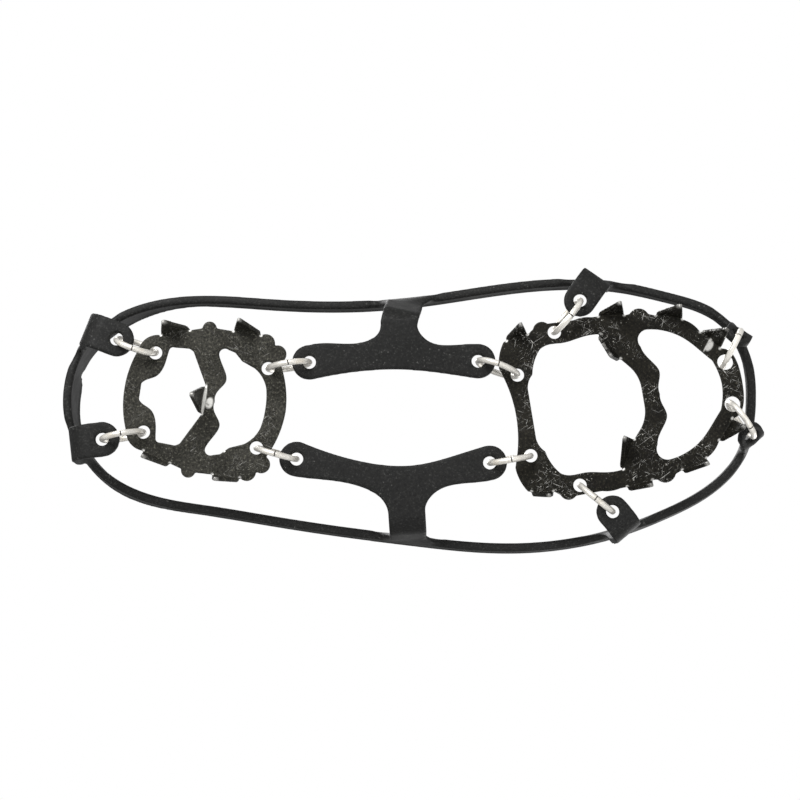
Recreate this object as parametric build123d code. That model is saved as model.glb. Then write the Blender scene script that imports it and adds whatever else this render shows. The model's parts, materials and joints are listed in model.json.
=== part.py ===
from build123d import *
import math
import os

# A left shoe's ice cleat in its worn shape. X runs to the toe, Y to the outer side of the foot, Z up.
# The teeth stand on Z 0. All sizes are in mm and all angles in degrees.

# Steel plates and their teeth
SHEET = 1.7  # plate thickness
BEND = 0.5  # inner bend radius at a tooth's root
REACH = 13.4  # tooth length below its bend
TIP = 1.3  # blunt width of a tooth's point
INSET = 2.0  # how far a tooth's point stands in from its steep side's root
SPLAY = 8  # lean of a tooth away from the vertical
TOE_SPLAY = 20  # lean of the two teeth at the toe
INNER_SPLAY = 14  # lean of the teeth inside the windows
LAP = 0.7  # how far a tooth is merged into its plate
EYE = 5.8  # diameter of the eyes that the rings pass through
TOE_EYE = 6.8  # diameter of the eyes of the two steep toe rings

# Wire rings
WIRE = 2.6  # wire diameter
RING = 18.0  # ring diameter at the middle of its wire, which is the distance between its two eyes
SEAM = 1.6  # angle left open where the wire's ends butt
TOE_RISE = 35  # slope of the toe rings, which climb round the edge of the sole

# Rubber harness
RUBBER = 3.3  # thickness
STRAP = 15.0  # strap width
SIDE_STRAP = 14.0  # width of the two straps beside the ball of the foot
TOE_STRAP = 12.0  # width of the two straps at the toe
TOE_TONGUE = 55  # slope of the toe straps at their eyes
TOE_TURN = 5.0  # how far above its eye a toe strap turns upright
CORNER = 7.0  # middle radius of the turn from under the sole to its side
RIM_LOW = 43.0  # lower edge of the rim
RIM_HIGH = 52.0  # upper edge of the rim along the sides
RIM_HEEL = 66.0  # upper edge of the rim behind the heel
RIM_TOE = 49.0  # upper edge of the rim in front of the toe
TAB_HIGH = 77.0  # top of the pull tab
TAB_WIDE = 27.0  # width of the pull tab
FLEX_X = -17.0  # where the harness bends under the arch
FLEX_GAP = 0.4  # clearance between the two halves there
ARM_LEG = 16.0  # width of the legs of the two arch arms
TAB_ROUND = 9.0  # corner radius of the pull tab
RIM_STATIONS = 32  # stations round the rim that set its outer and inner faces

# Sizes of what trims the harness
OVERRUN = 4.0  # how far a strap runs up past the rim's lower edge before it is cut level
SPACE = 400.0  # larger than the cleat in every direction


def drop(splay):
    """How far a tooth's point lies below the underside of its plate."""
    down = math.radians(90 - splay)
    return BEND + REACH * math.sin(down) - BEND * math.cos(down)


PLATE_Z = drop(SPLAY)  # underside of the plates
LINK_Z = PLATE_Z + SHEET / 2  # level of the eyes in plates and straps

# Each plate's place: the middle of its eyes in X and Y, and its turn about Z
HEEL_PLATE = Location((-88.3, -3.3, 0), (0, 0, 8))
FORE_PLATE = Location((68.0, 0.3, 0), (0, 0, -9))

# Each ring: its plate, its eye there, its heading in plan from plate to strap, its rise and its lean
HEEL_EYE = (24.7, 17.5)
FORE_REAR_EYE = (-18.9, 17.8)
FORE_SIDE_EYE = (0, 33.8)
FORE_TOE_EYE = (71.0, 9.3)
LINKS = {
    "heel_rear_inner": (HEEL_PLATE, (-HEEL_EYE[0], -HEEL_EYE[1]), 199.5, 0, -16),
    "heel_rear_outer": (HEEL_PLATE, (-HEEL_EYE[0], HEEL_EYE[1]), 170, 0, 0),
    "heel_front_inner": (HEEL_PLATE, (HEEL_EYE[0], -HEEL_EYE[1]), -8.6, 0, 0),
    "heel_front_outer": (HEEL_PLATE, HEEL_EYE, 15.6, 0, 8),
    "fore_rear_inner": (FORE_PLATE, (FORE_REAR_EYE[0], -FORE_REAR_EYE[1]), 199.7, 0, 4),
    "fore_rear_outer": (FORE_PLATE, FORE_REAR_EYE, 170, 0, -8),
    "fore_side_inner": (FORE_PLATE, (FORE_SIDE_EYE[0], -FORE_SIDE_EYE[1]), -51.2, 0, 10),
    "fore_side_outer": (FORE_PLATE, FORE_SIDE_EYE, 39.2, 0, 8),
    "toe_inner": (FORE_PLATE, (FORE_TOE_EYE[0], -FORE_TOE_EYE[1]), -62.4, TOE_RISE, 0),
    "toe_outer": (FORE_PLATE, FORE_TOE_EYE, 54.3, TOE_RISE, 0),
}


def through(points):
    """One edge: a line through two points, an arc through three, a smooth curve through more."""
    kinds = {2: Line, 3: ThreePointArc}
    return kinds.get(len(points), Spline)(*points)


def edges_along(start, steps):
    """The edges of an outline, each running from the end of the one before through a step's points."""
    edges = []
    for step in steps:
        edges.append(through([start, *step]))
        start = step[-1]
    return edges


def mirrored_face(start, steps):
    """A face symmetric about X: the steps go round its +Y side and are mirrored for the other."""
    flip = [[(x, -y) for x, y in step] for step in steps]
    return make_face(edges_along(start, steps) + edges_along(start, flip))


def tooth(root, end, splay, inset=INSET, tip_at_root=False):
    """A fin bent down along root to end, with its plate on the right and its point inset from its end."""
    (ax, ay), (bx, by) = root, end
    base = math.hypot(bx - ax, by - ay)
    turn = 90 - splay
    point = -drop(splay)
    steep = base - inset
    side = Polyline((0, SHEET), (base, SHEET), (steep, point), (steep - TIP, point), close=True)
    wedge = extrude(Plane.XZ * make_face(side), SPACE, both=True)
    if tip_at_root:
        wedge = mirror(wedge, Plane.YZ.offset(base / 2))
    hinge = Axis((0, 0, -BEND), (-1, 0, 0))
    section = Plane.XZ * Pos(base / 2, SHEET / 2) * Rectangle(base, SHEET)
    knuckle = revolve(section, hinge, turn)
    blade = Pos(base / 2, REACH / 2, SHEET / 2) * Box(base, REACH, SHEET)
    lap = Pos(base / 2, -LAP / 2, SHEET / 2) * Box(base, LAP, SHEET)
    shape = lap + (wedge & (knuckle + blade.rotate(hinge, turn)))
    place = Plane((ax, ay, PLATE_Z), x_dir=(bx - ax, by - ay, 0), z_dir=(0, 0, 1))
    return place * shape


def plate(outer, windows, eyes, teeth):
    """A stamped plate in its own frame: outline, windows, eyes as (x, y, diameter), and +Y side teeth."""
    face = outer
    for window in windows:
        face -= window
    for x, y, wide in eyes:
        for side in (1, -1):
            face -= Pos(x, side * y) * Circle(wide / 2)
    solid = Pos(0, 0, PLATE_Z) * extrude(face, SHEET)
    for fin in teeth:
        solid = solid + fin + mirror(fin, Plane.XZ)
    return solid


def heel_plate():
    """The heel plate: two teeth on each side, and one that leans back from the crossbar."""
    outer = mirrored_face(
        (-35.7, 0),
        [
            [(-34.8, 9.5), (-32.2, 18)],
            [(-29.8, 23), (-23.5, 25.5)],
            [(-11.3, 29.4)],
            [(-6.1, 31)],
            [(-3.2, 34.4), (0, 31.8)],
            [(7.4, 31.6)],
            [(19.5, 31.4)],
            [(24.6, 31.4), (26, 27.7)],
            [(31.6, 24.9), (29.4, 20.8)],
            [(33.3, 11), (34.9, 0)],
        ],
    )
    rear_window = mirrored_face(
        (-28.8, 0),
        [
            [(-28.8, 3.6)],
            [(-26.6, 5.5), (-23, 7.4), (-20.6, 11), (-19.6, 15.5), (-19.1, 19.3)],
            [(-18.4, 20.7), (-16.9, 21)],
            [(-10.4, 21.4)],
            [(-8.5, 20.4)],
            [(-0.9, 6.1)],
            [(-0.9, 0)],
        ],
    )
    front_window = mirrored_face(
        (3.9, 0),
        [
            [(5, 5.5), (7.4, 9.5), (5.6, 15), (2.8, 20.4)],
            [(3.6, 23), (6.5, 23.2)],
            [(9.5, 22.4)],
            [(13, 19.1)],
            [(19, 16.7)],
            [(23.2, 12.6), (25.1, 8.7)],
            [(25.8, 4.4), (26, 0)],
        ],
    )
    side_teeth = [
        tooth((-23.5, 25.5), (-11.3, 29.4), SPLAY, tip_at_root=True),
        tooth((7.4, 31.6), (19.5, 31.4), SPLAY, tip_at_root=True),
    ]
    eyes = [(-HEEL_EYE[0], HEEL_EYE[1], EYE), (*HEEL_EYE, EYE)]
    inner_root = 6.1
    inset = inner_root - TIP / 2
    inner_tooth = tooth((-0.9, -inner_root), (-0.9, inner_root), INNER_SPLAY, inset)
    body = plate(outer, [rear_window, front_window], eyes, side_teeth)
    return HEEL_PLATE * (body + inner_tooth)


def fore_plate():
    """The forefoot plate: four teeth on each side, and two that lean back from the crossbar."""
    outer = mirrored_face(
        (-22.3, 0),
        [
            [(-22.9, 8.5), (-24.8, 17.3)],
            [(-26.3, 22)],
            [(-24.7, 29), (-22.5, 33)],
            [(-21.2, 33.3)],
            [(-11.7, 34.6)],
            [(-8.9, 36.6)],
            [(-6, 39.2), (-2.4, 38)],
            [(9, 37.7)],
            [(13, 38.3), (17, 37.8)],
            [(19.9, 37.7)],
            [(31.2, 36.4)],
            [(33.6, 36.6)],
            [(38, 38.4), (41.6, 35.4)],
            [(44.6, 34.2)],
            [(55.9, 30.7)],
            [(60, 27.8), (62.6, 24)],
            [(69.8, 15.5)],
            [(73.6, 13.9), (75.9, 9.4), (76.7, 4.7), (76.9, 0)],
        ],
    )
    rear_window = mirrored_face(
        (-15.4, 0),
        [
            [(-15.4, 11)],
            [(-14.4, 14.4), (-12.4, 17)],
            [(-10.2, 23.4), (-7.4, 27.4)],
            [(-4.5, 28.7), (3, 28.7), (12, 30), (19.5, 29.9)],
            [(26.4, 17.8)],
            [(29.4, 14.3)],
            [(32.6, 8.6), (33.3, 4)],
            [(33.3, 0)],
        ],
    )
    front_window = mirrored_face(
        (40.7, 0),
        [
            [(40.9, 4.3), (42.2, 9.6), (39.6, 14.6), (36, 21.6)],
            [(35.9, 26.6), (40, 28.8)],
            [(48, 26.8), (55, 22.6), (60.6, 16.8), (65.6, 11)],
            [(67.2, 6), (68, 0)],
        ],
    )
    teeth = [
        tooth((-21.2, 33.3), (-11.7, 34.6), SPLAY),
        tooth((19.9, 37.7), (31.2, 36.4), SPLAY),
        tooth((44.6, 34.2), (55.9, 30.7), SPLAY),
        tooth((62.6, 24), (69.8, 15.5), TOE_SPLAY),
        tooth((26.4, 17.8), (19.5, 29.9), INNER_SPLAY, tip_at_root=True),
    ]
    eyes = [(*FORE_REAR_EYE, EYE), (*FORE_SIDE_EYE, EYE), (*FORE_TOE_EYE, TOE_EYE)]
    return FORE_PLATE * plate(outer, [rear_window, front_window], eyes, teeth)


def heading(angle, rise=0):
    """The unit vector that points at an angle in plan and climbs at rise."""
    flat = math.cos(math.radians(rise))
    a = math.radians(angle)
    return Vector(flat * math.cos(a), flat * math.sin(a), math.sin(math.radians(rise)))


def plate_eye(name):
    """The middle of a ring's eye in its plate."""
    place, (x, y), _, _, _ = LINKS[name]
    return (place * Pos(x, y, LINK_Z)).position


def link_axis(name):
    """The direction from a ring's eye in the plate to its eye in the strap."""
    return heading(*LINKS[name][2:4])


def strap_eye(name):
    """The middle of a ring's eye in its strap."""
    return plate_eye(name) + link_axis(name) * RING


def ring(name):
    """A wire ring on edge through its two eyes, with its own lean, its ends butted at the ground side."""
    middle = (plate_eye(name) + strap_eye(name)) / 2
    across = link_axis(name)
    upright = Plane(middle, x_dir=across, z_dir=across.cross(Vector(0, 0, 1)))
    wire = Plane.XZ * Pos(RING / 2, 0) * Circle(WIRE / 2)
    turned = revolve(wire, Axis.Z, 360 - SEAM).rotate(Axis.Z, 270 + SEAM / 2)
    return (upright * turned).rotate(Axis(middle, across), LINKS[name][4])


# The rim's middle line in plan, from behind the heel round the outer side to the toe and back
RIM_POINTS = [
    (-152, -8),
    (-145, 15),
    (-125, 32.5),
    (-91, 41),
    (-48, 48),
    (0, 54.5),
    (45, 58),
    (90, 51.5),
    (120, 39.5),
    (141, 25),
    (150.5, 7),
    (151, -15),
    (145.5, -38),
    (122, -52),
    (85, -60),
    (45, -58.5),
    (0, -52),
    (-60, -51),
    (-115, -50),
    (-143, -34),
]
RIM_LINE = Spline(*RIM_POINTS, periodic=True)


def beside_rim(shift):
    """The closed outline that runs beside the rim's middle line, shift outside it."""
    points = []
    for i in range(RIM_STATIONS):
        along = RIM_LINE % (i / RIM_STATIONS)
        points.append(RIM_LINE @ (i / RIM_STATIONS) + Vector(-along.Y, along.X) * shift)
    return make_face(Spline(*points, periodic=True))


def rim():
    """The whole rim: an upright band that is higher behind the heel, with a pull tab there."""
    footprints = [beside_rim(RUBBER / 2), beside_rim(-RUBBER / 2)]
    footprints.sort(key=lambda face: face.area)
    band = footprints[1] - footprints[0]
    wall = extrude(Pos(0, 0, RIM_LOW) * band, TAB_HIGH - RIM_LOW)
    profile = Plane.XZ * make_face(
        edges_along(
            (-SPACE / 2, RIM_LOW),
            [
                [(-SPACE / 2, RIM_HEEL)],
                [(-148, RIM_HEEL)],
                [(-133, RIM_HEEL - 1.5), (-112, RIM_HIGH + 3.5), (-84, RIM_HIGH)],
                [(60, RIM_HIGH)],
                [(90, RIM_HIGH - 0.8), (120, RIM_TOE + 0.6), (160, RIM_TOE)],
                [(160, RIM_LOW)],
                [(-SPACE / 2, RIM_LOW)],
            ],
        )
    )
    heights = extrude(profile, SPACE / 2, both=True)
    tab_face = RectangleRounded(TAB_WIDE, TAB_HIGH - RIM_LOW, TAB_ROUND)
    behind, beside = RIM_POINTS[0]
    tab_plane = Plane((behind, beside, (RIM_LOW + TAB_HIGH) / 2), x_dir=(0, 1, 0), z_dir=(1, 0, 0))
    tab = extrude(tab_plane * tab_face, STRAP, both=True)
    return wall & (heights + tab)


def rim_distance(eye, angle):
    """How far from an eye the rim's middle line lies along an angle, in plan."""
    start = Vector(eye.X, eye.Y)
    crossing = Line(start, start + heading(angle) * SPACE / 4).intersect(RIM_LINE)
    return (crossing[0].center() - start).length


def strip(eye, angle, path, wide):
    """Rubber of constant width along a path of (distance, height) points at an angle from an eye."""
    frame = Plane((eye.X, eye.Y, 0), x_dir=heading(angle), z_dir=heading(angle).cross(Vector(0, 0, 1)))
    line = FilletPolyline(*path, radius=CORNER) if len(path) > 2 else Line(*path)
    line = frame * line
    section = Plane(line @ 0, x_dir=frame.z_dir, z_dir=line % 0) * Rectangle(wide, RUBBER)
    return sweep(section, path=line)


def below_rim(shape):
    """A strap cut off level with the rim's lower edge."""
    return shape & Pos(0, 0, RIM_LOW / 2) * Box(SPACE, SPACE, RIM_LOW)


def strap(name, angle, run, wide=STRAP):
    """A strap from its tongue under the sole round the sole's edge, run past the eye, up to the rim."""
    eye = strap_eye(name)
    out = rim_distance(eye, angle)
    past = OVERRUN * (out - run) / (RIM_LOW - eye.Z)
    path = [(0, eye.Z), (run, eye.Z), (out + past, RIM_LOW + OVERRUN)]
    tongue = Pos(eye) * Cylinder(wide / 2, RUBBER)
    shape = tongue + strip(eye, angle, path, wide)
    return below_rim(shape - Pos(eye) * Cylinder(EYE / 2, 2 * RUBBER))


def toe_strap(name, angle):
    """A strap from its sloping tongue at the toe's edge up to the rim."""
    eye = strap_eye(name)
    out = rim_distance(eye, angle)
    up = heading(angle, TOE_TONGUE)
    turn = (TOE_TURN * math.cos(math.radians(TOE_TONGUE)), eye.Z + TOE_TURN * up.Z)
    past = OVERRUN * (out - turn[0]) / (RIM_LOW - turn[1])
    path = [(0, eye.Z), turn, (out + past, RIM_LOW + OVERRUN)]
    face_on = Plane(eye, x_dir=up, z_dir=up.cross(heading(angle + 90)))
    tongue = face_on * Cylinder(TOE_STRAP / 2, RUBBER)
    shape = tongue + strip(eye, angle, path, TOE_STRAP)
    return below_rim(shape - face_on * Cylinder(TOE_EYE / 2, 2 * RUBBER))


def arch_arm(rear, fore, outline, stem, angle, run):
    """A T-shaped arm under the arch between two eyes, with a leg that climbs from its stem to the rim."""
    web = make_face(edges_along(outline[-1][-1], outline))
    flat = Pos(0, 0, LINK_Z - RUBBER / 2) * extrude(web, RUBBER)
    out = rim_distance(Vector(*stem), angle)
    past = OVERRUN * (out - run) / (RIM_LOW - LINK_Z)
    path = [(0, LINK_Z), (run, LINK_Z), (out + past, RIM_LOW + OVERRUN)]
    shape = flat + strip(Vector(*stem), angle, path, ARM_LEG)
    for eye in (strap_eye(rear), strap_eye(fore)):
        shape += Pos(eye) * Cylinder(STRAP / 2, RUBBER)
        shape -= Pos(eye) * Cylinder(EYE / 2, 2 * RUBBER)
    return below_rim(shape)


def inner_arm():
    """The arch arm on the inner side of the foot."""
    outline = [
        [(-32, -28.2), (-20.5, -28.7), (-14.6, -31.6), (-12.8, -37.7)],
        [(4.1, -40.2)],
        [(3.5, -34.6), (8.5, -28.9), (17, -27.4), (28.8, -27.8)],
        [(28.3, -13)],
        [(14, -15.2), (-3, -16.8), (-20, -16.2), (-43, -12.3)],
        [(-44, -27.3)],
    ]
    return arch_arm("heel_front_inner", "fore_rear_inner", outline, (-5, -36), -78, 5)


def outer_arm():
    """The arch arm on the outer side of the foot, whose stem is longer."""
    outline = [
        [(-34, 31.6), (-21, 34.4), (-13, 38.8), (-9.2, 48)],
        [(6.8, 48)],
        [(7.4, 41), (12, 36), (22, 33), (35.5, 31.4)],
        [(31.8, 16.9)],
        [(20, 20.6), (2, 25), (-20, 23.6), (-47, 15)],
        [(-50, 29.8)],
    ]
    return arch_arm("heel_front_outer", "fore_rear_outer", outline, (-1.5, 44), 86, 8.5)


def half(shape, side):
    """The part of a shape behind (-1) or in front of (1) the flex line under the arch."""
    keep = Pos(FLEX_X + side * (SPACE + FLEX_GAP) / 2, 0, 0) * Box(SPACE, SPACE, SPACE)
    return shape & keep


def parts():
    """Every node by name, before the whole is centred."""
    whole_rim = rim()
    inner, outer = inner_arm(), outer_arm()
    made = {
        "harness_heel_rim": half(whole_rim, -1),
        "harness_heel_strap_inner": strap("heel_rear_inner", 201, 13.5),
        "harness_heel_strap_outer": strap("heel_rear_outer", 173, 13.5),
        "harness_rear_arm_inner": half(inner, -1),
        "harness_rear_arm_outer": half(outer, -1),
        "harness_front_rim": half(whole_rim, 1),
        "harness_arch_arm_inner": half(inner, 1),
        "harness_arch_arm_outer": half(outer, 1),
        "harness_side_strap_inner": strap("fore_side_inner", -55, 12, SIDE_STRAP),
        "harness_side_strap_outer": strap("fore_side_outer", 50, 11, SIDE_STRAP),
        "harness_toe_strap_inner": toe_strap("toe_inner", -58),
        "harness_toe_strap_outer": toe_strap("toe_outer", 50),
        "heel_plate": heel_plate(),
        "forefoot_plate": fore_plate(),
    }
    for name in LINKS:
        made[f"ring_{name}"] = ring(name)
    return made


PARTS = parts()
BOXES = [part.bounding_box() for part in PARTS.values()]
BACK, FRONT = min(box.min.X for box in BOXES), max(box.max.X for box in BOXES)
INNER, OUTER = min(box.min.Y for box in BOXES), max(box.max.Y for box in BOXES)
CENTRE = Vector((BACK + FRONT) / 2, (INNER + OUTER) / 2, min(box.min.Z for box in BOXES))

os.makedirs("parts", exist_ok=True)
for name, part in PARTS.items():
    export_step(Pos(-CENTRE) * part, f"parts/{name}.step")
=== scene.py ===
"""Looks for a shoe ice cleat: a moulded rubber harness, two toothed steel plates and ten wire rings."""

import math

import bmesh
import bpy
import numpy as np
from mathutils import Matrix, Vector
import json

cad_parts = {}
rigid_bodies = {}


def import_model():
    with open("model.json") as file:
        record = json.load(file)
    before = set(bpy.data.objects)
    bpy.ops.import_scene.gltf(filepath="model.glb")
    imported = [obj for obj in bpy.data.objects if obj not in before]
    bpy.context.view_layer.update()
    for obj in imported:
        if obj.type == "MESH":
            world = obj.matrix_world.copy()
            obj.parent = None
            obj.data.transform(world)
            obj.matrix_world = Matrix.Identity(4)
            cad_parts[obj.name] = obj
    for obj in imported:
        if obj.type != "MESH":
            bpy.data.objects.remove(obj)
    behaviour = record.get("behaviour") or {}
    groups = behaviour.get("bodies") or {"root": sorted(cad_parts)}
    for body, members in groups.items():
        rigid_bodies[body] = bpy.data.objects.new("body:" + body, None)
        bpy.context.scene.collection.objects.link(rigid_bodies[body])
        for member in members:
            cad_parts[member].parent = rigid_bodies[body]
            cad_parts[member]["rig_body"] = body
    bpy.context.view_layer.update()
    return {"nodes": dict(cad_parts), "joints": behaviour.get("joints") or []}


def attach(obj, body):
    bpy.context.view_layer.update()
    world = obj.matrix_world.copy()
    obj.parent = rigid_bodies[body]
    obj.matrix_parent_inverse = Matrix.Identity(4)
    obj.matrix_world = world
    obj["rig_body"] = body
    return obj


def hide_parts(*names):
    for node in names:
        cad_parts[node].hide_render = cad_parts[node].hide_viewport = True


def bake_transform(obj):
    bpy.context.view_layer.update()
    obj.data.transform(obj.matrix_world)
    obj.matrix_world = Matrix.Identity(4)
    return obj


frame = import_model()

# Lengths are in mm up to the materials, and in metres from there on, unless a comment says otherwise
MM = 0.001

# Places of the CAD model in its own design frame, before it was centred
FLEX_X = -17.0
RIM_LOW, RIM_HIGH, TAB_TOP = 43.0, 52.0, 77.0
FLEX_GAP = 0.4
# The origin of each plate's own frame, and its heading in degrees
HEEL_PLACE = (-88.3, -3.3, 8.0)
FORE_PLACE = (68.0, 0.3, -9.0)

joints = {joint["name"]: joint for joint in frame["joints"]}
flex = Vector(joints["arch_flex"]["pos_m"])
shift = Vector((flex.x - FLEX_X * MM, flex.y, 0))


def at(x, y, z=0.0):
    """A point of the design frame, given in mm, in the row frame in metres."""
    return shift + Vector((x, y, z)) * MM


def on_plate(place, x, y, z=0.0):
    """A point given in mm in a plate's own frame, in the row frame in metres."""
    turn = math.radians(place[2])
    across = x * math.cos(turn) - y * math.sin(turn)
    along = x * math.sin(turn) + y * math.cos(turn)
    return at(place[0] + across, place[1] + along, z)


def smooth(t):
    """A smooth step from 0 to 1."""
    t = np.clip(t, 0, 1)
    return t * t * (3 - 2 * t)


# Meshes

SAME_POINT = 0.002
SMOOTHING = 0.5


def copied(names, change=None):
    """One bmesh with copies of CAD nodes, each run through change(bm, name)."""
    whole = bmesh.new()
    for name in names:
        bm = bmesh.new()
        bm.from_mesh(frame["nodes"][name].data)
        bmesh.ops.remove_doubles(bm, verts=bm.verts, dist=SAME_POINT * MM)
        if change:
            change(bm, name)
        mesh = bpy.data.meshes.new("part")
        bm.to_mesh(mesh)
        bm.free()
        whole.from_mesh(mesh)
        bpy.data.meshes.remove(mesh)
    return whole


def remeshed(bm, name, voxel, rounds):
    """An object made of a bmesh's union, remeshed evenly and smoothed."""
    mesh = bpy.data.meshes.new(name)
    bm.to_mesh(mesh)
    bm.free()
    obj = bpy.data.objects.new(name, mesh)
    bpy.context.scene.collection.objects.link(obj)
    remesh = obj.modifiers.new("even", "REMESH")
    remesh.mode = "VOXEL"
    remesh.voxel_size = voxel
    remesh.adaptivity = 0.0
    ease = obj.modifiers.new("ease", "SMOOTH")
    ease.factor = SMOOTHING
    ease.iterations = rounds
    graph = bpy.context.evaluated_depsgraph_get()
    done = bpy.data.meshes.new_from_object(obj.evaluated_get(graph))
    obj.modifiers.clear()
    obj.data = done
    done.name = name
    bpy.data.meshes.remove(mesh)
    done.materials.clear()
    return obj


def coordinates(mesh):
    """A mesh's points, as rows of three."""
    co = np.empty(len(mesh.vertices) * 3)
    mesh.vertices.foreach_get("co", co)
    return co.reshape(-1, 3)


def normals(mesh):
    """The directions in which a mesh faces at its points, as rows of three."""
    no = np.empty(len(mesh.vertices) * 3)
    mesh.vertices.foreach_get("normal", no)
    return no.reshape(-1, 3)


def set_coordinates(mesh, co):
    """Moves a mesh's points to rows of three."""
    mesh.vertices.foreach_set("co", co.astype(np.float32).ravel())
    mesh.update()


def shade_smooth(mesh):
    """Shades every face of a mesh smoothly."""
    mesh.polygons.foreach_set("use_smooth", [True] * len(mesh.polygons))


# The harness, one moulding

REAR = [n for n, o in frame["nodes"].items() if o["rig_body"] == "harness_rear"]
FRONT = [n for n, o in frame["nodes"].items() if o["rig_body"] == "harness_front"]
HARNESS_VOXEL, HARNESS_ROUNDS = 0.62, 5
# How much wider each kind of strap gets, as a share, from FLARE_LOW up to the rim
FLARE = {"arm": 0.55, "heel_strap": 0.12, "side_strap": 0.12, "toe_strap": 0.0}
FLARE_LOW = 31.0
FLARE_STEPS = 7
# How much of the rim shows which way it runs past a strap
RUN_REACH = 15.0
# How near a point has to be to count as on a strap's top, or on a face of the flex gap
TOP_NEAR = 0.05
FACE_NEAR = 0.02
# How far each strap's top is raised into the rim, so that the two become one
STRAP_OVERLAP = 0.6
strap_tops = []
rim_meshes = [node.data for name, node in frame["nodes"].items() if "rim" in name]
rim_spots = np.vstack([coordinates(mesh)[:, :2] for mesh in rim_meshes])


def rim_direction(spot):
    """The direction in plan in which the rim runs past a point."""
    near = rim_spots[np.linalg.norm(rim_spots - (spot.x, spot.y), axis=1) < RUN_REACH * MM]
    run = np.linalg.svd(near - near.mean(0), full_matrices=False)[2][0]
    return Vector((run[0], run[1], 0)).normalized()


def harness_part(bm, name):
    """Closes the flex gap, and turns and flares each strap where it grows out of the rim."""
    side = -1 if name in REAR else 1
    face_x = flex.x + side * FLEX_GAP / 2 * MM
    for v in bm.verts:
        if abs(v.co.x - face_x) < FACE_NEAR * MM:
            v.co.x -= side * FLEX_GAP * MM
    if "rim" in name or "rear_arm" in name:
        return
    flare = next(share for kind, share in FLARE.items() if kind in name)
    for i in range(FLARE_STEPS):
        level = FLARE_LOW + (RIM_LOW - FLARE_LOW) * i / FLARE_STEPS
        geometry = bm.verts[:] + bm.edges[:] + bm.faces[:]
        spot = (0, 0, level * MM)
        bmesh.ops.bisect_plane(bm, geom=geometry, plane_co=spot, plane_no=(0, 0, 1))
    top = [v.co.copy() for v in bm.verts if v.co.z > (RIM_LOW - TOP_NEAR) * MM]
    middle = sum(top, Vector()) / len(top)
    strap_tops.append((middle.x, middle.y))
    flat = np.array([(p.x - middle.x, p.y - middle.y) for p in top])
    along = np.linalg.svd(flat, full_matrices=False)[2][0]
    along = Vector((along[0], along[1], 0)).normalized()
    run = rim_direction(middle)
    run *= math.copysign(1, run.dot(along))
    for v in bm.verts:
        climb = float(smooth((v.co.z / MM - FLARE_LOW) / (RIM_LOW - FLARE_LOW)))
        wide = (v.co - middle).dot(along)
        v.co += ((run - along) * climb + run * flare * climb ** 2) * wide
    for v in bm.verts:
        if v.co.z > (RIM_LOW - TOP_NEAR) * MM:
            v.co.z += STRAP_OVERLAP * MM


moulding = copied(REAR + FRONT, harness_part)
harness = remeshed(moulding, "harness", HARNESS_VOXEL * MM, HARNESS_ROUNDS)

CELL = 2.0 * MM
# The rim's rolled edges: how far each stands out, how far from the band's edge its crest is, its width
UPPER_BEAD, UPPER_INSET, UPPER_WIDE = 0.75, 1.9, 1.5
LOWER_BEAD, LOWER_INSET, LOWER_WIDE = 0.35, 1.5, 1.2
BEAD_SHARE, BEAD_ROUNDS = 0.5, 8
# The grip ribs on the pull tab's rear face
TAB_PLACE = (-152, -8)
TAB_DEEP = 4.0
RIBS_LOW, RIBS_TOP = 58.5, TAB_TOP - 6.5
RIBS = 4
RIB_HIGH, RIB_HALF_LONG, RIB_END = 0.7, 9.5, 1.2
REAR_FACING, REAR_FADE = 0.6, 0.2
# The fillets: their reach in plan from each strap's middle, and below and above the rim's lower edge
JOIN_REACH, JOIN_FADE = 17.0, 5.0
JOIN_BELOW, JOIN_BELOW_FADE = 10.0, 4.0
JOIN_ABOVE, JOIN_ABOVE_FADE = 6.0, 3.0
JOIN_SHARE, JOIN_ROUNDS = 0.6, 42


def local_top(co):
    """How high the harness reaches above each point, within a cell or so."""
    low = co[:, :2].min(0) - 2 * CELL
    index = ((co[:, :2] - low) / CELL).astype(int)
    high = np.zeros(tuple(index.max(0) + 3))
    np.maximum.at(high, (index[:, 0], index[:, 1]), co[:, 2])
    best = np.zeros(len(co))
    for i in (-1, 0, 1):
        for j in (-1, 0, 1):
            best = np.maximum(best, high[index[:, 0] + i, index[:, 1] + j])
    return best


def eased(mesh, values, share, rounds):
    """Values at a mesh's points, moved towards their neighbours' mean by a share in each round."""
    edges = np.empty(len(mesh.edges) * 2, int)
    mesh.edges.foreach_get("vertices", edges)
    a, b = edges.reshape(-1, 2).T
    size = len(values)
    count = np.bincount(a, minlength=size) + np.bincount(b, minlength=size)
    for _ in range(rounds):
        total = np.zeros_like(values)
        for i in range(values.shape[1]):
            total[:, i] = np.bincount(a, values[b, i], size)
            total[:, i] += np.bincount(b, values[a, i], size)
        values = values + (total / count[:, None] - values) * share
    return values


def bead(away, high, wide):
    """How far a rolled edge stands out at some distance above or below its crest."""
    return high * np.exp(-((away / wide) ** 2))


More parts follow.
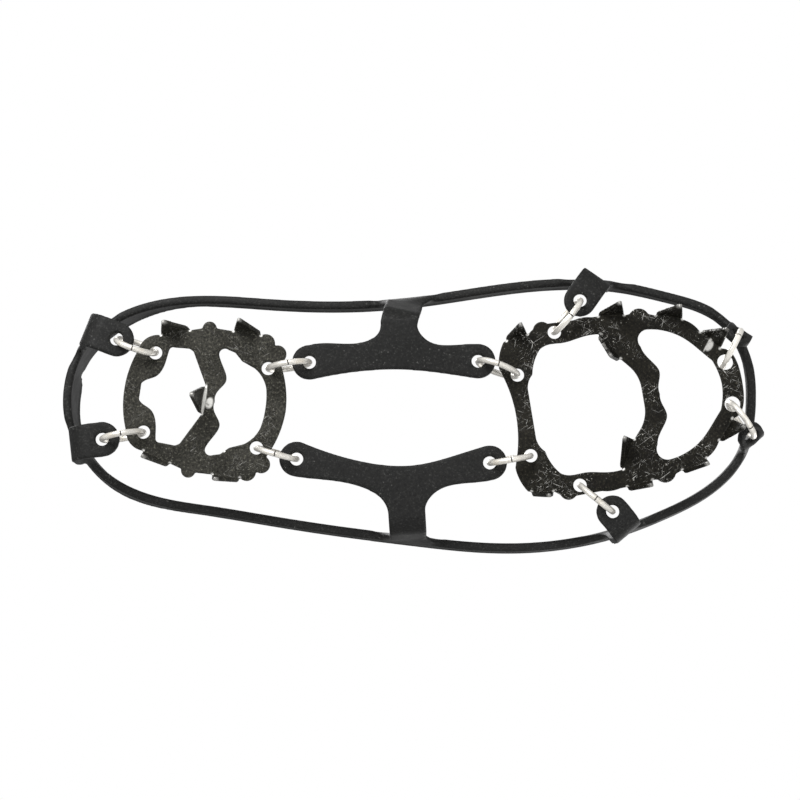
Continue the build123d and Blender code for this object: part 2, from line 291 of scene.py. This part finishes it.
def mould_details(mesh):
    """The rim's rolled edges and the pull tab's grip ribs."""
    co, no = coordinates(mesh) / MM, normals(mesh)
    height = co[:, 2]
    flat = no * (1, 1, 0)
    top = local_top(co * MM) / MM
    rim = smooth((height - RIM_LOW + 1) / 2)
    upper = bead(height - top + UPPER_INSET, UPPER_BEAD, UPPER_WIDE)
    lower = bead(height - RIM_LOW - LOWER_INSET, LOWER_BEAD, LOWER_WIDE)
    beads = eased(mesh, flat * ((upper + lower) * rim)[:, None], BEAD_SHARE, BEAD_ROUNDS)
    tab_x, tab_y = (at(*TAB_PLACE) / MM)[:2]
    climb = (height - RIBS_LOW) / (RIBS_TOP - RIBS_LOW)
    behind = smooth((-no[:, 0] - REAR_FACING) / REAR_FADE) * (co[:, 0] < tab_x + TAB_DEEP)
    across = smooth((RIB_HALF_LONG - np.abs(co[:, 1] - tab_y)) / RIB_END)
    band = smooth((climb + 0.02) * 12) * smooth((1.02 - climb) * 12)
    ribs = RIB_HIGH * (0.5 + 0.5 * np.cos(2 * math.pi * RIBS * np.clip(climb, 0, 1)))
    co += beads + flat * (ribs * behind * across * band)[:, None]
    set_coordinates(mesh, co * MM)


def eased_joins(mesh):
    """Softens the corners where straps and legs grow out of the rim, as fillets do."""
    co = coordinates(mesh)
    height = co[:, 2] / MM
    near = np.zeros(len(co))
    for x, y in strap_tops:
        away = np.linalg.norm(co[:, :2] - (x, y), axis=1) / MM
        near = np.maximum(near, smooth((JOIN_REACH - away) / JOIN_FADE))
    near *= smooth((height - RIM_LOW + JOIN_BELOW) / JOIN_BELOW_FADE)
    near *= smooth((RIM_LOW + JOIN_ABOVE - height) / JOIN_ABOVE_FADE)
    set_coordinates(mesh, eased(mesh, co, JOIN_SHARE * near[:, None], JOIN_ROUNDS))


eased_joins(harness.data)
mould_details(harness.data)
shade_smooth(harness.data)


# The plates

# The ends of each bend, where a tooth leaves its plate, in each plate's own frame
HEEL_ROOTS = [(-23.5, 25.5), (-11.3, 29.4), (7.4, 31.6), (19.5, 31.4)]
FORE_ROOTS = [
    (-21.2, 33.3), (-11.7, 34.6), (19.9, 37.7), (31.2, 36.4), (44.6, 34.2), (55.9, 30.7),
    (62.6, 24), (69.8, 15.5), (26.4, 17.8), (19.5, 29.9),
]
INNER_ROOTS = [(-0.9, -6.1), (-0.9, 6.1)]
PLATE_VOXEL, PLATE_ROUNDS = 0.34, 2
# The height of the plates' lower faces
PLATE_LOW = 13.7
# The size of the small bright spot at each end of each bend
BEND_SPOT = 0.55
BEND_SPOT_REACH = 1.6 * BEND_SPOT
POLISH_DEPTH, POLISH_DEPTH_FADE = 1.0, 0.5
POLISH_EDGE, POLISH_EDGE_FADE = 1.15, 0.4
# Polished ground, in each plate's own frame: middle, half length, half width and heading
HEEL_POLISH = [(-0.7, 0, 6.9, 0.75, 90), (1.7, 1.1, 2.5, 1.7, 100)]
FORE_POLISH = [(66.2, -19.7, 5.9, 0.55, -50), (65.4, -17.3, 2.5, 1.4, -50)]


def both_sides(points):
    """Points and their mirror images across a plate's middle line."""
    return [(x, side * y) for x, y in points for side in (1, -1)]


def polished(co, place, spots):
    """How far each point of a plate lies inside its polished spots, from 0 to 1."""
    share = np.zeros(len(co))
    for x, y, half_long, half_wide, heading in spots:
        away = (co - np.array(on_plate(place, x, y, PLATE_LOW))) / MM
        turn = math.radians(place[2] + heading)
        along = away[:, 0] * math.cos(turn) + away[:, 1] * math.sin(turn)
        across = away[:, 1] * math.cos(turn) - away[:, 0] * math.sin(turn)
        reach = np.sqrt((along / half_long) ** 2 + (across / half_wide) ** 2)
        level = smooth((POLISH_DEPTH - np.abs(away[:, 2])) / POLISH_DEPTH_FADE)
        share = np.maximum(share, smooth((POLISH_EDGE - reach) / POLISH_EDGE_FADE) * level)
    return share


def refined_plate(node, place, roots, spots):
    """A plate with eased edges, polished spots, and a small bright spot at each end of each bend."""
    obj = remeshed(copied([node]), node + "_detail", PLATE_VOXEL * MM, PLATE_ROUNDS)
    mesh = obj.data
    co = coordinates(mesh)
    wear_and_bend_spots = polished(co, place, spots)
    for x, y in roots:
        spot = np.array(on_plate(place, x, y, PLATE_LOW))
        away = np.linalg.norm(co - spot, axis=1)
        wear_and_bend_spots = np.maximum(wear_and_bend_spots, smooth((BEND_SPOT_REACH * MM - away) / (BEND_SPOT * MM)))
    attribute = mesh.attributes.new("wear_and_bend_spots", "FLOAT", "POINT")
    attribute.data.foreach_set("value", wear_and_bend_spots.astype(np.float32))
    shade_smooth(mesh)
    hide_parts(node)
    return obj


heel_roots = both_sides(HEEL_ROOTS) + INNER_ROOTS
heel_plate = refined_plate("heel_plate", HEEL_PLACE, heel_roots, HEEL_POLISH)
fore_plate = refined_plate("forefoot_plate", FORE_PLACE, both_sides(FORE_ROOTS), FORE_POLISH)


# The rings

WIRE_RADIUS = 1.3
RING_RADIUS = 9.0
# The seam: the angle left open there, and the wire's chamfers along it and in from its side
BUTT = 0.35
CHAMFER = 0.3
CHAMFER_DEEP = 0.6 * CHAMFER
# Degrees between the wire's cross-sections, and points round each
ARC_STEP = 4
ROUND = 20
# How squarely a face has to look along the wire to be one of its ends
END_FACING = 0.95


def ring_frame(mesh):
    """The middle of a CAD ring, the direction from there to its seam, and its axis."""
    co = coordinates(mesh)
    middle = (co.min(0) + co.max(0)) / 2
    axis = np.linalg.svd(co - middle, full_matrices=False)[2][2]
    spots, facing = np.empty(len(mesh.polygons) * 3), np.empty(len(mesh.polygons) * 3)
    mesh.polygons.foreach_get("center", spots)
    mesh.polygons.foreach_get("normal", facing)
    radial = spots.reshape(-1, 3) - middle
    radial -= (radial @ axis)[:, None] * axis
    radial /= np.linalg.norm(radial, axis=1)[:, None]
    along = np.abs((facing.reshape(-1, 3) * np.cross(axis, radial)).sum(1))
    seam = radial[along > END_FACING].mean(0)
    return Vector(middle), Vector(seam).normalized(), Vector(axis)


def wire_ring(node):
    """A ring whose wire's two chamfered ends butt at a seam, its points marked by how near they lie to
    an end, for the shade painted along the seam.
    """
    middle, seam, axis = ring_frame(frame["nodes"][node].data)
    cut = math.degrees(CHAMFER / RING_RADIUS)
    end = [BUTT / 2, BUTT / 2 + cut / 2, BUTT / 2 + cut]
    turns = [*end, *range(ARC_STEP, 360, ARC_STEP), *(360 - turn for turn in reversed(end))]
    bm = bmesh.new()
    loops, marks = [], []
    for turn in turns:
        from_end = min(turn, 360 - turn) - BUTT / 2
        near = max(0.0, 1 - from_end / cut)
        radius = WIRE_RADIUS - CHAMFER_DEEP * near ** 2
        outward = Matrix.Rotation(math.radians(turn), 3, axis) @ seam
        loop = []
        for i in range(ROUND):
            angle = 2 * math.pi * i / ROUND
            away = outward * (RING_RADIUS + radius * math.cos(angle))
            away += axis * radius * math.sin(angle)
            loop.append(bm.verts.new(middle + away * MM))
            marks.append(near)
        loops.append(loop)
    for one, two in zip(loops, loops[1:]):
        for i in range(ROUND):
            bm.faces.new((one[i], one[i - 1], two[i - 1], two[i]))
    bm.faces.new(loops[0])
    bm.faces.new(loops[-1][::-1])
    bmesh.ops.recalc_face_normals(bm, faces=bm.faces)
    mesh = bpy.data.meshes.new(node + "_wire")
    bm.to_mesh(mesh)
    bm.free()
    # How near each point lies to an end, which the ring material turns into painted shade along the
    # seam
    mesh.attributes.new("seam", "FLOAT", "POINT").data.foreach_set("value", marks)
    shade_smooth(mesh)
    obj = bpy.data.objects.new(node + "_wire", mesh)
    bpy.context.scene.collection.objects.link(obj)
    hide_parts(node)
    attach(obj, frame["nodes"][node]["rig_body"])
    return obj


rings = [wire_ring(node) for node in sorted(frame["nodes"]) if node.startswith("ring_")]


# Materials

class Nodes:
    """A small helper that adds shader nodes and links them."""

    def __init__(self, name):
        self.material = bpy.data.materials.new(name)
        self.material.use_nodes = True
        self.tree = self.material.node_tree
        self.shader = self.tree.nodes["Principled BSDF"]
        self.where = self.add("ShaderNodeTexCoord").outputs["Object"]

    def add(self, kind, inputs=None, **settings):
        """A new node, with its inputs set or linked by name."""
        node = self.tree.nodes.new(kind)
        for name, value in settings.items():
            setattr(node, name, value)
        for name, value in (inputs or {}).items():
            self.put(node.inputs[name], value)
        return node

    def put(self, socket, value):
        """Links a socket to another, or sets its value."""
        if isinstance(value, bpy.types.NodeSocket):
            self.tree.links.new(value, socket)
        else:
            socket.default_value = value

    def noise(self, scale, detail=3.0, rough=0.55, vector=None, distortion=0.0):
        """Soft noise with a mean of about one half."""
        values = {"Vector": vector or self.where, "Scale": scale, "Detail": detail}
        values.update({"Roughness": rough, "Distortion": distortion})
        return self.add("ShaderNodeTexNoise", values).outputs["Fac"]

    def cells(self, scale):
        """The distance to the nearest of some scattered spots."""
        values = {"Vector": self.where, "Scale": scale}
        return self.add("ShaderNodeTexVoronoi", values).outputs["Distance"]

    def span(self, value, low, high, to_low=0.0, to_high=1.0):
        """A smooth step from one value to another as the input goes from low to high."""
        values = {"Value": value, "From Min": low, "From Max": high}
        values.update({"To Min": to_low, "To Max": to_high})
        return self.add("ShaderNodeMapRange", values, interpolation_type="SMOOTHSTEP").outputs[0]

    def streaks(self, turn, stretch, scale, least):
        """Thin marks along one direction in plan."""
        turned = self.add("ShaderNodeMapping", {"Vector": self.where, "Rotation": (0, 0, turn)})
        values = {"Vector": turned.outputs[0], "Scale": (1, stretch, 1)}
        drawn = self.add("ShaderNodeMapping", values).outputs[0]
        marks = self.noise(scale, 2, 0.5, drawn, distortion=1.2)
        return self.span(marks, least, least + 0.05)

    def math(self, operation, a, b):
        """One arithmetic step."""
        node = self.add("ShaderNodeMath", operation=operation)
        self.put(node.inputs[0], a)
        self.put(node.inputs[1], b)
        return node.outputs[0]

    def mix(self, share, a, b):
        """A colour that goes from a to b as the share goes from 0 to 1."""
        node = self.add("ShaderNodeMix", data_type="RGBA")
        self.put(node.inputs["Factor"], share)
        self.put(node.inputs[6], a)
        self.put(node.inputs[7], b)
        return node.outputs[2]

    def bump(self, height, strength, distance, normal=None):
        """A fine relief, on top of another if one is given."""
        values = {"Height": height, "Strength": strength, "Distance": distance}
        if normal is not None:
            values["Normal"] = normal
        return self.add("ShaderNodeBump", values).outputs[0]

    def finish(self, **values):
        """Sets the surface's inputs, and gives back its material."""
        for name, value in values.items():
            self.put(self.shader.inputs[name.replace("_", " ")], value)
        return self.material


def colour(r, g, b):
    """An opaque colour."""
    return (r, g, b, 1.0)


RUBBER_DARK, RUBBER_LIGHT = colour(0.0048, 0.0049, 0.0047), colour(0.0086, 0.0087, 0.0082)
RUBBER_GRAIN, RUBBER_PORE = colour(0.038, 0.038, 0.036), colour(0.001, 0.001, 0.001)
# A lighter tone painted along the harness's sharp edges as a highlight
RUBBER_EDGE_HIGHLIGHT = colour(0.045, 0.045, 0.045)
DUST = colour(0.2, 0.2, 0.19)
HEEL_DARK, HEEL_LIGHT = colour(0.017, 0.0164, 0.013), colour(0.043, 0.0415, 0.035)
FORE_DARK, FORE_LIGHT = colour(0.005, 0.0045, 0.0033), colour(0.0145, 0.0132, 0.0098)
GRIT = colour(0.36, 0.35, 0.32)
BARE_STEEL = colour(0.80, 0.79, 0.76)
ZINC, ZINC_DULL = colour(0.95, 0.92, 0.86), colour(0.80, 0.75, 0.66)
# The second colour is painted shade for the groove of each ring's butt seam
ZINC_PIT, SEAM_PAINTED_SHADE = colour(0.16, 0.14, 0.12), colour(0.012, 0.011, 0.009)
# Scratches: heading, how much longer than wide, scale and least noise that shows
SCRATCHES = [(0.6, 16, 170, 0.66), (-0.35, 20, 120, 0.68), (1.35, 14, 210, 0.67), (2.3, 18, 150, 0.69)]
# The heights between which the teeth's tips are worn bright, and how ragged that line is
TIP_WORN, TIP_DARK, TIP_RAGGED = 0.0018, 0.0042, 0.004


def rubber():
    """Matte moulded elastomer with a fine grain, a little dust and a soft painted highlight along its
    edges.
    """
    n = Nodes("harness_rubber")
    grain = n.noise(1050, 4, 0.8)
    mottle = n.noise(90, 4)
    flecks = n.span(n.cells(250), 0.1, 0.04)
    dust = n.math("MAXIMUM", flecks, n.span(n.noise(700, 3, 0.6), 0.62, 0.72))
    dust = n.math("MULTIPLY", dust, n.span(n.noise(60, 3), 0.4, 0.6))
    edge = n.span(n.add("ShaderNodeNewGeometry").outputs["Pointiness"], 0.53, 0.62)
    base = n.mix(mottle, RUBBER_DARK, RUBBER_LIGHT)
    base = n.mix(n.span(grain, 0.53, 0.7), base, RUBBER_GRAIN)
    base = n.mix(n.span(grain, 0.47, 0.34), base, RUBBER_PORE)
    # Painted highlight: sharp edges are lightened into a soft highlight rim
    base = n.mix(n.math("MULTIPLY", edge, 0.5), base, RUBBER_EDGE_HIGHLIGHT)
    base = n.mix(n.math("MULTIPLY", dust, 0.36), base, DUST)
    rough = n.span(mottle, 0.3, 0.7, 0.5, 0.66)
    normal = n.bump(grain, 0.35, 0.00006)
    normal = n.bump(n.noise(420, 3), 0.25, 0.0001, normal)
    return n.finish(Base_Color=base, Roughness=rough, Normal=normal, Specular_IOR_Level=0.24)


def plate_steel(name, dark, light, grit, scratched):
    """Dark coated steel: gritty, scratched, with bright wear on its edges and tips, and bright spots at
    its bend ends.
    """
    n = Nodes(name)
    cloud = n.noise(70, 5, 0.6)
    fine = n.noise(950, 4, 0.8)
    base = n.mix(n.span(cloud, 0.3, 0.7), dark, light)
    raised = colour(light[0] * 3.6, light[1] * 3.6, light[2] * 3.4)
    sunken = colour(dark[0] * 0.2, dark[1] * 0.2, dark[2] * 0.2)
    base = n.mix(n.span(fine, 0.53, 0.7), base, raised)
    base = n.mix(n.span(fine, 0.48, 0.34), base, sunken)
    coarse = n.span(n.cells(430), 0.17, 0.07)
    specks = n.math("MAXIMUM", coarse, n.span(n.cells(760), 0.15, 0.06))
    specks = n.math("MULTIPLY", specks, n.span(n.noise(120, 3), 0.47, 0.58))
    base = n.mix(n.math("MULTIPLY", specks, grit), base, GRIT)
    scratch = n.streaks(*SCRATCHES[0])
    for marks in SCRATCHES[1:]:
        scratch = n.math("MAXIMUM", scratch, n.streaks(*marks))
    scratch = n.math("MULTIPLY", scratch, n.span(n.noise(60, 3), 0.46, 0.64))
    scratch = n.math("MULTIPLY", scratch, scratched)
    edge = n.span(n.add("ShaderNodeNewGeometry").outputs["Pointiness"], 0.53, 0.63)
    edge = n.math("MULTIPLY", edge, n.span(n.noise(300, 4, 0.65), 0.38, 0.6, 0.12, 0.85))
    height = n.add("ShaderNodeSeparateXYZ", {"Vector": n.where}).outputs["Z"]
    ragged = n.math("ADD", height, n.math("MULTIPLY", n.noise(260, 4), TIP_RAGGED))
    tip = n.math("MULTIPLY", n.span(ragged, TIP_DARK, TIP_WORN), 0.45)
    # The polished spots and the bright spots at the bend ends
    bend_spot = n.add("ShaderNodeAttribute", attribute_name="wear_and_bend_spots").outputs["Fac"]
    bend_spot = n.math("MULTIPLY", bend_spot, n.span(n.noise(480, 4, 0.65), 0.34, 0.5, 0.45, 1.0))
    bare = n.math("MAXIMUM", n.math("MAXIMUM", edge, tip), n.math("MAXIMUM", bend_spot, scratch))
    base = n.mix(bare, base, BARE_STEEL)
    metal = n.span(bare, 0.0, 0.7, 0.4, 0.85)
    rough = n.span(bare, 0.0, 0.7, 0.56, 0.36)
    normal = n.bump(fine, 0.5, 0.00005)
    normal = n.bump(n.noise(500, 4, 0.6), 0.3, 0.00008, normal)
    surface = {"Base_Color": base, "Metallic": metal, "Roughness": rough, "Normal": normal}
    return n.finish(**surface, Specular_IOR_Level=0.2)


def ring_steel():
    """Bright zinc-plated wire with fine drawing marks, a few dull patches, and shade painted along its
    seam.
    """
    n = Nodes("ring_steel")
    dull = n.span(n.noise(230, 4, 0.6), 0.5, 0.72)
    base = n.mix(dull, ZINC, ZINC_DULL)
    pits = n.span(n.cells(700), 0.12, 0.04)
    pits = n.math("MULTIPLY", pits, n.span(n.noise(200, 3), 0.55, 0.7))
    base = n.mix(pits, base, ZINC_PIT)
    seam = n.add("ShaderNodeAttribute", attribute_name="seam").outputs["Fac"]
    # Painted shade: the wire darkens towards its chamfered ends, where the seam's groove is in shade
    base = n.mix(n.span(seam, 0.05, 0.6), base, SEAM_PAINTED_SHADE)
    rough = n.span(dull, 0.0, 1.0, 0.36, 0.5)
    normal = n.bump(n.noise(900, 3), 0.25, 0.00005)
    return n.finish(Base_Color=base, Metallic=0.6, Roughness=rough, Normal=normal)


harness.data.materials.append(rubber())
heel_steel = plate_steel("heel_steel", HEEL_DARK, HEEL_LIGHT, grit=0.45, scratched=0.3)
fore_steel = plate_steel("forefoot_steel", FORE_DARK, FORE_LIGHT, grit=1.0, scratched=1.0)
heel_plate.data.materials.append(heel_steel)
fore_plate.data.materials.append(fore_steel)

bright = ring_steel()
for ring in rings:
    ring.data.materials.append(bright)

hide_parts(*(REAR + FRONT))
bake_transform(harness)
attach(heel_plate, "heel_plate")
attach(fore_plate, "forefoot_plate")


# Studio

FLOOR_SIZE = 8
FLOOR_BELOW = 0.0002
FLOOR_COLOUR = (0.82, 0.82, 0.81, 1)
FLOOR_ROUGHNESS = 0.8


def stage_floor():
    """A pale floor under the teeth, drawn only from above, so that it never hides the cleat."""
    bpy.ops.mesh.primitive_plane_add(size=FLOOR_SIZE, location=(0, 0, -FLOOR_BELOW))
    floor = bpy.context.object
    floor.name = "floor"
    material = bpy.data.materials.new("floor")
    material.use_nodes = True
    tree = material.node_tree
    shader = tree.nodes["Principled BSDF"]
    shader.inputs["Base Color"].default_value = FLOOR_COLOUR
    shader.inputs["Roughness"].default_value = FLOOR_ROUGHNESS
    clear = tree.nodes.new("ShaderNodeBsdfTransparent")
    mixed = tree.nodes.new("ShaderNodeMixShader")
    geometry = tree.nodes.new("ShaderNodeNewGeometry")
    tree.links.new(geometry.outputs["Backfacing"], mixed.inputs[0])
    tree.links.new(shader.outputs[0], mixed.inputs[1])
    tree.links.new(clear.outputs[0], mixed.inputs[2])
    tree.links.new(mixed.outputs[0], tree.nodes["Material Output"].inputs["Surface"])
    floor.data.materials.append(material)
    floor.visible_shadow = False


def area(name, place, size, power):
    """A soft square light that faces the cleat."""
    light = bpy.data.lights.new(name, "AREA")
    light.shape = "SQUARE"
    light.size = size
    light.energy = power
    obj = bpy.data.objects.new(name, light)
    obj.location = place
    obj.rotation_mode = "QUATERNION"
    obj.rotation_quaternion = (-Vector(place)).to_track_quat("-Z", "Y")
    bpy.context.scene.collection.objects.link(obj)


stage_floor()
area("below_key", (-0.55, -0.75, -1.0), 0.7, 16)
area("below_fill", (0.7, 0.5, -1.0), 1.0, 7)
area("above_key", (-0.5, -0.7, 1.2), 0.8, 12)
area("above_fill", (0.8, 0.6, 1.0), 1.0, 6)

WORLD_LIGHT = 0.42
WORLD_SEEN = 1.0

world = bpy.data.worlds.new("world")
world.use_nodes = True
world_nodes, world_links = world.node_tree.nodes, world.node_tree.links
seen = world_nodes.new("ShaderNodeLightPath").outputs["Is Camera Ray"]
strength = world_nodes.new("ShaderNodeMapRange")
strength.inputs["To Min"].default_value = WORLD_LIGHT
strength.inputs["To Max"].default_value = WORLD_SEEN
world_links.new(seen, strength.inputs["Value"])
world_links.new(strength.outputs[0], world_nodes["Background"].inputs["Strength"])
world_nodes["Background"].inputs["Color"].default_value = (1.0, 1.0, 1.0, 1)
bpy.context.scene.world = world

# The camera looks up from below and a little from the outer side. The sensor, the width it sees and
# the place it looks at are in mm.
TILT = math.radians(8)
DISTANCE = 1.2
SENSOR = 36.0
VIEW_WIDE = 346.4
LENS = SENSOR * DISTANCE / (VIEW_WIDE * MM)
LOOK_AT = (-4.3, -3.5, 15)

camera_data = bpy.data.cameras.new("camera")
camera_data.sensor_width = SENSOR
camera_data.lens = LENS
camera = bpy.data.objects.new("camera", camera_data)
bpy.context.scene.collection.objects.link(camera)
target = at(*LOOK_AT)
back = Vector((0, math.sin(TILT), -math.cos(TILT)))
right = Vector((1, 0, 0))
up = back.cross(right)
camera.matrix_world = Matrix((
    (right.x, up.x, back.x, target.x + back.x * DISTANCE),
    (right.y, up.y, back.y, target.y + back.y * DISTANCE),
    (right.z, up.z, back.z, target.z + back.z * DISTANCE),
    (0, 0, 0, 1),
))
bpy.context.scene.camera = camera

bpy.context.scene.view_settings.view_transform = "Standard"
